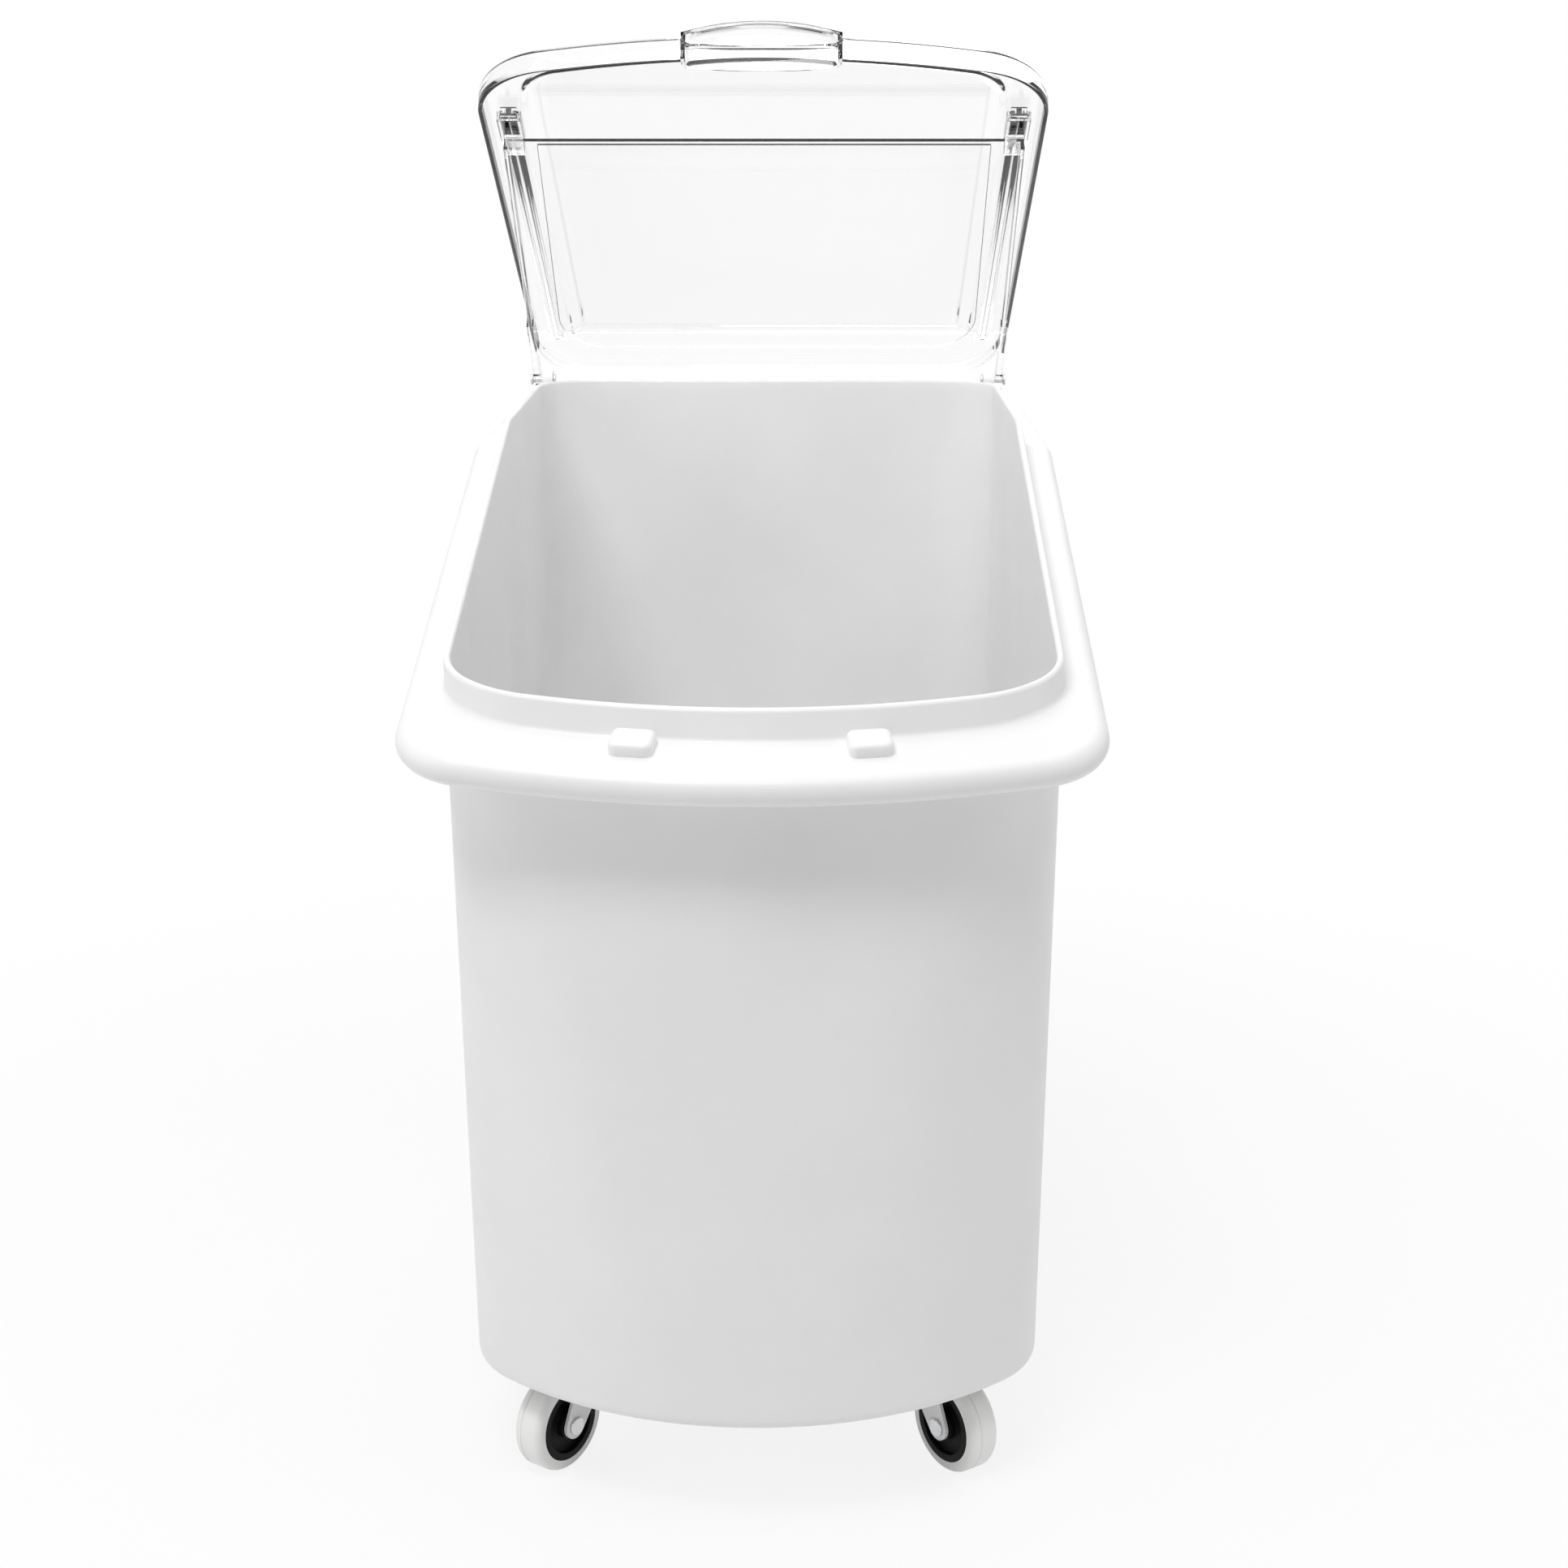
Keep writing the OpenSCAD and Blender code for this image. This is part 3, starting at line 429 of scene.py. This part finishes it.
def make_lugs():
    """Two round-topped hinge lugs on the rear ledge."""
    head, thick, knuckle, sink, edge = 0.002, 0.009, 0.008, 0.003, 0.0009
    axis_y, axis_z, pin_start = pin_axis()
    foot_z = RIM_H - COLLAR_H - sink - axis_z
    top = [(knuckle * math.cos(a), knuckle * math.sin(a)) for a in arc(0, 180, 19)]
    outline = np.array([(knuckle, foot_z)] + top + [(-knuckle, foot_z)])
    upright = Matrix(((0, 0, 1, 0), (1, 0, 0, 0), (0, 1, 0, 0), (0, 0, 0, 1)))
    for side, name in ((-1, "left_lug"), (1, "right_lug")):
        x = pin_start + head if side > 0 else -pin_start - head - thick
        place = Matrix.Translation((x, axis_y, axis_z)) @ upright
        mesh = slab_mesh(name, outline, 0, thick, edge, edge, place)
        make_object(name, mesh, TUB_WHITE, "bin")


def make_pads():
    """Four pads under the tub's floor, which the caster plates lie against."""
    grow, sink, corner_round, low_round, high_round = 0.007, 0.001, 0.004, 0.0012, 0.0002
    for corner in CASTERS:
        name = corner + "_pad"
        low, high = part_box(corner + "_plate")
        outline = rounded_rectangle(low.x - grow, low.y - grow, high.x + grow, high.y + grow, corner_round)
        mesh = slab_mesh(name, outline, high.z, RECESS_Z + sink, low_round, high_round, Matrix.Identity(4))
        make_object(name, mesh, TUB_WHITE, "bin")


make_bumps()
make_lugs()
make_pads()


# Clear front lid: a skirted plate with a rounded edge, a raised panel and a finger pocket under an arched lip.
# It is drawn closed in the frame of the slanted rim, with y along the slope and z off the collar's top
LID_T, LID_CLEAR, LID_SKIRT, LID_W, LID_CORNER = 0.003, 0.001, 0.016, 0.410, 0.065
LID_FRONT_INSET, LID_END = 0.020, 0.0214
LID_EDGE = -(SLOPE_LEN + RIM_OVER_MID * math.tan(SLOPE / 2) - LID_FRONT_INSET)
PANEL_EDGE, PANEL_RISE = 0.033, 0.006
POCKET_HALF, POCKET_D, POCKET_BOW, LIP_RISE = 0.053, 0.018, 0.353, 0.009
PLATE_LOW = LID_CLEAR + LID_SKIRT
PLATE_TOP = PLATE_LOW + LID_T
LID_OPEN, LID_SLIDE = math.radians(44.6), 0.350

# Roundings of its edges, and the eased wall of the panel, which runs from WALL_IN inside to WALL_OUT outside
EDGE_ROUND, POCKET_ROUND, POCKET_CORNER, BEAD, LEAST_ROUND = 0.007, 0.001, 0.004, 0.0008, 0.0004
WALL_IN, WALL_OUT, WALL_W = 0.0075, 0.0045, 0.012
END_OUT, END_W = 0.0015, 0.003
WALL_SHARES = (-0.1, *np.linspace(0, 1, 13), 1.1)
SEAM, POCKET_STEP = 0.0006, 0.002
MERGE, SHARP = 1e-7, math.radians(50)

# How far the lip, the rails and the stops reach into the plate
LID_SINK = 0.0002

# Columns of half an outline: pocket wall, pocket corner, way out, bow, lid corner and side
LID_SPANS = (9, 6, 5, 10, 22, 8)
LID_COLUMNS = sum(LID_SPANS)
POCKET_COLUMNS = sum(LID_SPANS[:3])


def lid_matrix():
    """Place of the slanted lid frame in the open rest pose."""
    axis_y, axis_z, _ = pin_axis()
    hinge = Matrix.Translation((0, axis_y, axis_z))
    swing = hinge @ Matrix.Rotation(-LID_OPEN, 4, "X") @ hinge.inverted()
    return swing @ slope_matrix(RIM_OVER_MID) @ Matrix.Translation((0, LID_SLIDE, 0))


def lid_front(x, inset):
    """The lid's bowed front edge at x, moved in by an inset."""
    return LID_EDGE + FRONT_BOW - np.sqrt((FRONT_BOW - inset) ** 2 - x ** 2)


def lid_half(inset, pocket, end):
    """Right half of the lid's outline from the front's middle to the rear end, each column with its inset."""
    inset = np.broadcast_to(inset, (LID_COLUMNS,))
    d_wall, d_turn, d_out, d_bow, d_corner, d_side = np.split(inset, np.cumsum(LID_SPANS)[:-1])
    wall_x = np.linspace(0, 1, LID_SPANS[0]) * (POCKET_HALF - POCKET_CORNER)
    if pocket:
        turn_a, out_a = arc(0, 90, LID_SPANS[1]), arc(180, 270, LID_SPANS[2])
        wall_y = LID_EDGE + POCKET_D + d_wall - wall_x ** 2 / (2 * POCKET_BOW)
        turn_r = POCKET_CORNER + d_turn
        turn_x = POCKET_HALF - POCKET_CORNER + turn_r * np.sin(turn_a)
        turn_y = LID_EDGE + POCKET_D - POCKET_CORNER - wall_x[-1] ** 2 / (2 * POCKET_BOW)
        turn_y = turn_y + turn_r * np.cos(turn_a)
        out_r = np.maximum(POCKET_ROUND - d_out, 0)
        out_x = POCKET_HALF + d_out + out_r
        out_y = lid_front(out_x, d_out) + out_r + out_r * np.sin(out_a)
        out_x = out_x + out_r * np.cos(out_a)
    else:
        turn_x = np.linspace(POCKET_HALF - POCKET_CORNER, POCKET_HALF, LID_SPANS[1])
        out_x = POCKET_HALF + np.linspace(0, POCKET_STEP, LID_SPANS[2])
        wall_y, turn_y, out_y = lid_front(wall_x, d_wall), lid_front(turn_x, d_turn), lid_front(out_x, d_out)
    bow_end = np.arcsin((LID_W / 2 - LID_CORNER) / (FRONT_BOW - LID_CORNER))
    bow_start = np.arcsin((out_x[-1] + POCKET_STEP) / (FRONT_BOW - d_bow))
    bow_a = bow_start + (bow_end - bow_start) * np.linspace(0, 1, LID_SPANS[3])
    bow_r = FRONT_BOW - d_bow
    bow = np.stack([bow_r * np.sin(bow_a), LID_EDGE + FRONT_BOW - bow_r * np.cos(bow_a)], 1)
    centre_y = LID_EDGE + FRONT_BOW - (FRONT_BOW - LID_CORNER) * math.cos(bow_end)
    centre = np.array([LID_W / 2 - LID_CORNER, centre_y])
    corner_a = np.linspace(bow_end, math.pi / 2, LID_SPANS[4] + 1)[1:]
    corner = centre + (LID_CORNER - d_corner)[:, None] * np.stack([np.sin(corner_a), -np.cos(corner_a)], 1)
    side_y = centre_y + (end - centre_y) * np.linspace(0, 1, LID_SPANS[5] + 1)[1:]
    side = np.stack([LID_W / 2 - d_side, side_y], 1)
    front = [np.stack(part, 1) for part in ((wall_x, wall_y), (turn_x, turn_y), (out_x, out_y))]
    return np.concatenate([*front, bow, corner, side])


def lid_loop(inset, n, pocket=True, end=LID_END):
    """Whole outline from the left rear end round the front to the right rear end, with heights."""
    half = lid_half(inset, pocket, end)
    half = np.column_stack([half, np.broadcast_to(n, (LID_COLUMNS,))])
    left = half[:0:-1] * np.array([-1.0, 1.0, 1.0])
    return np.concatenate([left, half])


def ease(share):
    """Smooth rise from 0 to 1."""
    share = min(max(share, 0.0), 1.0)
    return share * share * (3 - 2 * share)


def lid_loops():
    """Loops of the lid's skin, from the panel's top over the edge to the underside, and of the recess."""
    big = np.where(np.arange(LID_COLUMNS) < POCKET_COLUMNS, POCKET_ROUND, EDGE_ROUND)
    small = np.maximum(big - LID_T, LEAST_ROUND)
    panel_top = PLATE_TOP + PANEL_RISE
    skin = [lid_loop(PANEL_EDGE + WALL_IN - WALL_W * share, panel_top - PANEL_RISE * ease(share), False)
            for share in WALL_SHARES]
    skin += [lid_loop(big + SEAM, PLATE_TOP)]
    skin += [lid_loop(inset, PLATE_TOP - drop) for inset, drop in round_off(big, 90, 0, 8)]
    skin += [lid_loop(inset, LID_CLEAR + rise) for inset, rise in round_off(BEAD, 0, 90, 4)]
    skin += [lid_loop(LID_T - inset, LID_CLEAR + rise) for inset, rise in round_off(BEAD, 90, 0, 4)]
    skin += [lid_loop(LID_T + inset, PLATE_LOW - drop) for inset, drop in round_off(small, 0, 90, 6)]
    skin += [lid_loop(LID_T + small + SEAM, PLATE_LOW)]
    recess_edge, recess_end = PANEL_EDGE + LID_T, LID_END - LID_T
    recess = [lid_loop(recess_edge - WALL_OUT + WALL_W * share, PLATE_LOW + PANEL_RISE * ease(share), False,
                       recess_end + END_OUT - END_W * share) for share in WALL_SHARES]
    return skin, recess


def lid_mesh(matrix):
    """Closed shell of the lid: strips between the loops, a flat rear end and flat panel faces."""
    skin, recess = lid_loops()
    loops = skin + recess
    count = len(loops[0])
    faces = [tuple(range(count))]
    for k in range(len(loops) - 1):
        a, b = k * count, (k + 1) * count
        faces += [(a + i, b + i, b + i + 1, a + i + 1) for i in range(count - 1)]
        if k >= len(skin) - 1:
            faces.append((a + count - 1, b + count - 1, b, a))
    faces.append(tuple((len(loops) - 1) * count + i for i in reversed(range(count))))
    left_end = tuple(k * count for k in range(len(skin)))
    right_end = tuple(k * count + count - 1 for k in reversed(range(len(skin))))
    faces.append(left_end + right_end)
    mesh = skin_mesh("front_lid_shell", np.concatenate(loops), faces, MERGE)
    mesh.set_sharp_from_angle(angle=SHARP)
    mesh.transform(matrix)
    mesh.update()
    return mesh


def bar_mesh(name, outline, y0, y1, round_end, matrix):
    """Outline across x and z, drawn along y from y0 to y1 with softened ends."""
    across = Matrix(((1, 0, 0, 0), (0, 0, -1, 0), (0, 1, 0, 0), (0, 0, 0, 1)))
    return slab_mesh(name, outline, -y1, -y0, round_end, round_end, matrix @ across)


def rail_outline(x, foot, stem, low, high, thick, r):
    """T section of a rail, with rounded outer corners, anticlockwise."""
    steps = 4
    base = rounded_rectangle(x - foot / 2, low, x + foot / 2, low + thick, r, steps)
    left, right, top = x - stem / 2, x + stem / 2, low + thick
    stem_part = np.array([(right, top), (right, high), (left, high), (left, top)])
    return np.concatenate([base[:2 * steps], stem_part, base[2 * steps:]])


def lip_mesh(matrix):
    """Arched lip over the finger pocket, closed at the rear, as a bent sheet with rounded edges."""
    edge, bend, inner_bend, columns = 0.0012, 0.004, 0.001, 33
    half = POCKET_HALF + LID_T
    radius = (half ** 2 + LIP_RISE ** 2) / (2 * LIP_RISE)
    reach = math.asin(half / radius)
    rear = LID_EDGE + (POCKET_D + LID_T)
    section = [(LID_EDGE + inset, -drop) for inset, drop in round_off(edge, 0, 90, 4)]
    section += [(rear - inset, -drop) for inset, drop in round_off(bend, 90, 0, 6)]
    section += [(rear, None), (rear - LID_T, None)]
    section += [(rear - LID_T - inset, -LID_T - drop) for inset, drop in round_off(inner_bend, 0, 90, 4)]
    section += [(LID_EDGE + inset, -LID_T + rise) for inset, rise in round_off(edge, 90, 0, 4)]
    base, level = PLATE_TOP - LID_SINK, PLATE_TOP + LIP_RISE - radius
    rings = []
    for turn in np.linspace(-reach, reach, columns):
        ring = []
        for y, drop in section:
            r = radius + (drop or 0.0)
            z = base if drop is None else max(level + r * math.cos(turn), base)
            ring.append((r * math.sin(turn), y, z))
        rings.append(np.array(ring))
    return ring_mesh("front_lid_lip", rings, matrix)


def make_front_lid():
    """Shell, lip, rails and stops of the lid."""
    rail_inset, rail_h, rail_w, rail_stem, rail_foot, rail_round, rail_end = (
        0.019, 0.007, 0.012, 0.004, 0.003, 0.0006, 0.0003)
    half_clip, stop_gap, stop_end, stop_steps = 0.018, 0.0004, 0.0004, 4
    place = lid_matrix()
    shell = make_object("front_lid_shell", lid_mesh(place), CLEAR, "front_lid")
    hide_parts("front_lid")
    parts = [("front_lid_lip", lip_mesh(place))]
    rail_x, rail_low, rail_high = LID_W / 2 - rail_inset, PLATE_LOW - rail_h, PLATE_LOW + LID_SINK
    rail_front, rail_rear = -LID_SLIDE - half_clip - stop_gap, LID_END - LID_T
    stops = (("_front_stop", 0.006, rail_front - LID_T, rail_front), ("_rear_stop", 0.009, rail_rear, LID_END))
    for side, hand in ((-1, "left"), (1, "right")):
        x = side * rail_x
        tee = rail_outline(x, rail_w, rail_stem, rail_low, rail_high, rail_foot, rail_round)
        parts.append((hand + "_rail", bar_mesh(hand + "_rail", tee, rail_front, rail_rear, rail_end, place)))
        for kind, half, y0, y1 in stops:
            block = rounded_rectangle(x - half, rail_low, x + half, rail_high, rail_round, stop_steps)
            parts.append((hand + kind, bar_mesh(hand + kind, block, y0, y1, stop_end, place)))
    for name, mesh in parts:
        make_object(name, mesh, CLEAR_THIN, "front_lid")


make_front_lid()


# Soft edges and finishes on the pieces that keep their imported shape
WELD, CLOSING_WELD = 1e-6, 2e-6
FLAT_ANGLE, EDGE_ANGLE = math.radians(0.5), math.radians(40)
AREA_WEIGHT = 100


def dress(node, material, edge, segments=2):
    """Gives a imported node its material, flat faces, soft edges and even shading, by modifiers alone."""
    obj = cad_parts[node]
    obj.data.materials.clear()
    obj.data.materials.append(material)
    weld = obj.modifiers.new("weld", "WELD")
    weld.merge_threshold = WELD
    flat = obj.modifiers.new("flat", "DECIMATE")
    flat.decimate_type = "DISSOLVE"
    flat.angle_limit = FLAT_ANGLE
    soft = obj.modifiers.new("soft_edges", "BEVEL")
    soft.width = edge
    soft.segments = segments
    soft.limit_method = "ANGLE"
    soft.angle_limit = EDGE_ANGLE
    seam = obj.modifiers.new("close_slivers", "WELD")
    seam.merge_threshold = CLOSING_WELD
    even = obj.modifiers.new("even_shading", "WEIGHTED_NORMAL")
    even.mode = "FACE_AREA"
    even.weight = AREA_WEIGHT
    obj.data.polygons.foreach_set("use_smooth", [True] * len(obj.data.polygons))


dress("rear_lid", CLEAR, edge=0.0009, segments=3)
for clip_node in ("left_guide_clip", "right_guide_clip"):
    dress(clip_node, CLEAR_THIN, edge=0.0005)
for steel_node in ("left_hinge_pin", "right_hinge_pin", "caster_bolts"):
    dress(steel_node, ZINC, edge=0.0005)
for corner in CASTERS:
    dress(corner + "_plate", ZINC, edge=0.0005)
    dress(corner + "_kingpin", ZINC, edge=0.0006)
    dress(corner + "_bearing_balls", ZINC, edge=0.0001)
    dress(corner + "_fork", FORK_COAT, edge=0.0006)
    dress(corner + "_axle", ZINC, edge=0.0008, segments=3)
    dress(corner + "_bush", BUSH_GREY, edge=0.0004)
    dress(corner + "_hub", CORE_BLACK, edge=0.0006)
    dress(corner + "_tyre", TYRE_WHITE, edge=0.0006)


# Stage: pale floor, white surroundings and soft lamps
AMBIENT = 0.30
FLOOR_SHADOW, SHADOW_NEAR, SHADOW_FAR, FLOOR_HALF = 0.16, 0.35, 1.3, 6.0


def white_for_eyes(tree):
    """1 for camera, glossy and transmission rays, which see the plain white background."""
    path = tree.nodes.new("ShaderNodeLightPath")
    total = path.outputs["Is Camera Ray"]
    for ray in ("Is Glossy Ray", "Is Transmission Ray"):
        larger = tree.nodes.new("ShaderNodeMath")
        larger.operation = "MAXIMUM"
        tree.links.new(total, larger.inputs[0])
        tree.links.new(path.outputs[ray], larger.inputs[1])
        total = larger.outputs["Value"]
    return total


def make_world():
    """White to the eye, and a dim even light on the object."""
    world = bpy.data.worlds.new("studio")
    bpy.context.scene.world = world
    world.use_nodes = True
    tree = world.node_tree
    tree.nodes.clear()
    out = tree.nodes.new("ShaderNodeOutputWorld")
    back = tree.nodes.new("ShaderNodeBackground")
    level_of = tree.nodes.new("ShaderNodeMapRange")
    level_of.inputs["To Min"].default_value = AMBIENT
    level_of.inputs["To Max"].default_value = 1.0
    tree.links.new(white_for_eyes(tree), level_of.inputs["Value"])
    tree.links.new(level_of.outputs["Result"], back.inputs["Strength"])
    back.inputs["Color"].default_value = WHITE
    tree.links.new(back.outputs["Background"], out.inputs["Surface"])


def make_floor():
    """Pale floor that keeps a soft shadow near the object and turns plain white further off."""
    grain_scale, dark, light, rough = 3.0, 0.90, 0.94, 0.9
    mat, tree, shader, out = new_material("floor_pale")
    tree.links.new(two_tone(tree, noise(tree, grain_scale), dark, light), shader.inputs["Base Color"])
    shader.inputs["Roughness"].default_value = rough
    shader.inputs["Specular IOR Level"].default_value = 0.0
    glow = tree.nodes.new("ShaderNodeEmission")
    glow.inputs["Color"].default_value = WHITE
    mix = tree.nodes.new("ShaderNodeMixShader")
    coords = tree.nodes.new("ShaderNodeTexCoord")
    away = tree.nodes.new("ShaderNodeVectorMath")
    away.operation = "LENGTH"
    tree.links.new(coords.outputs["Object"], away.inputs[0])
    whiten = tree.nodes.new("ShaderNodeMapRange")
    whiten.interpolation_type = "SMOOTHSTEP"
    whiten.inputs["From Min"].default_value = SHADOW_NEAR
    whiten.inputs["From Max"].default_value = SHADOW_FAR
    whiten.inputs["To Min"].default_value = 1.0 - FLOOR_SHADOW
    whiten.inputs["To Max"].default_value = 1.0
    tree.links.new(away.outputs["Value"], whiten.inputs["Value"])
    share = tree.nodes.new("ShaderNodeMath")
    share.operation = "MULTIPLY"
    tree.links.new(whiten.outputs["Result"], share.inputs[1])
    tree.links.new(white_for_eyes(tree), share.inputs[0])
    tree.links.new(share.outputs["Value"], mix.inputs["Fac"])
    tree.links.new(shader.outputs["BSDF"], mix.inputs[1])
    tree.links.new(glow.outputs["Emission"], mix.inputs[2])
    tree.links.new(mix.outputs["Shader"], out.inputs["Surface"])
    half = FLOOR_HALF
    corners = [(-half, -half, 0), (half, -half, 0), (half, half, 0), (-half, half, 0)]
    mesh = bpy.data.meshes.new("floor")
    mesh.from_pydata(corners, [], [(0, 1, 2, 3)])
    floor = bpy.data.objects.new("floor", mesh)
    bpy.context.scene.collection.objects.link(floor)
    floor.data.materials.append(mat)


def softbox(name, place, aim, size, power):
    """Rectangular lamp at a place, turned to what it aims at."""
    lamp = bpy.data.lights.new(name, "AREA")
    lamp.shape = "RECTANGLE"
    lamp.size, lamp.size_y = size
    lamp.energy = power
    obj = bpy.data.objects.new(name, lamp)
    bpy.context.scene.collection.objects.link(obj)
    obj.location = place
    direction = obj.location - Vector(aim)
    obj.rotation_euler = direction.to_track_quat("Z", "Y").to_euler()


def make_camera():
    """The photograph's camera."""
    lens, sensor, place = 58.86, 36.0, (0.0307, -1.7725, 0.8854)
    pitch_down, yaw = math.radians(15.21), math.radians(0.47)
    data = bpy.data.cameras.new("photo_camera")
    data.sensor_width = sensor
    data.lens = lens
    camera = bpy.data.objects.new("photo_camera", data)
    camera.location = place
    camera.rotation_euler = (math.pi / 2 - pitch_down, 0.0, yaw)
    bpy.context.scene.collection.objects.link(camera)
    bpy.context.scene.camera = camera


make_world()
make_floor()
MIDDLE = (0.0, 0.0, 0.45)
softbox("top_box", (0.0, -0.1, 2.6), MIDDLE, (2.4, 2.4), 24.0)
softbox("front_box", (-0.6, -1.7, 2.9), MIDDLE, (1.2, 0.6), 32.0)
softbox("left_box", (-2.4, -0.8, 1.2), MIDDLE, (1.6, 2.0), 13.0)
softbox("right_box", (2.4, -0.8, 1.2), MIDDLE, (1.6, 2.0), 9.0)
softbox("rear_box", (0.6, 2.8, 1.6), MIDDLE, (1.6, 1.4), 9.0)
make_camera()
bpy.context.scene.view_settings.view_transform = "Standard"
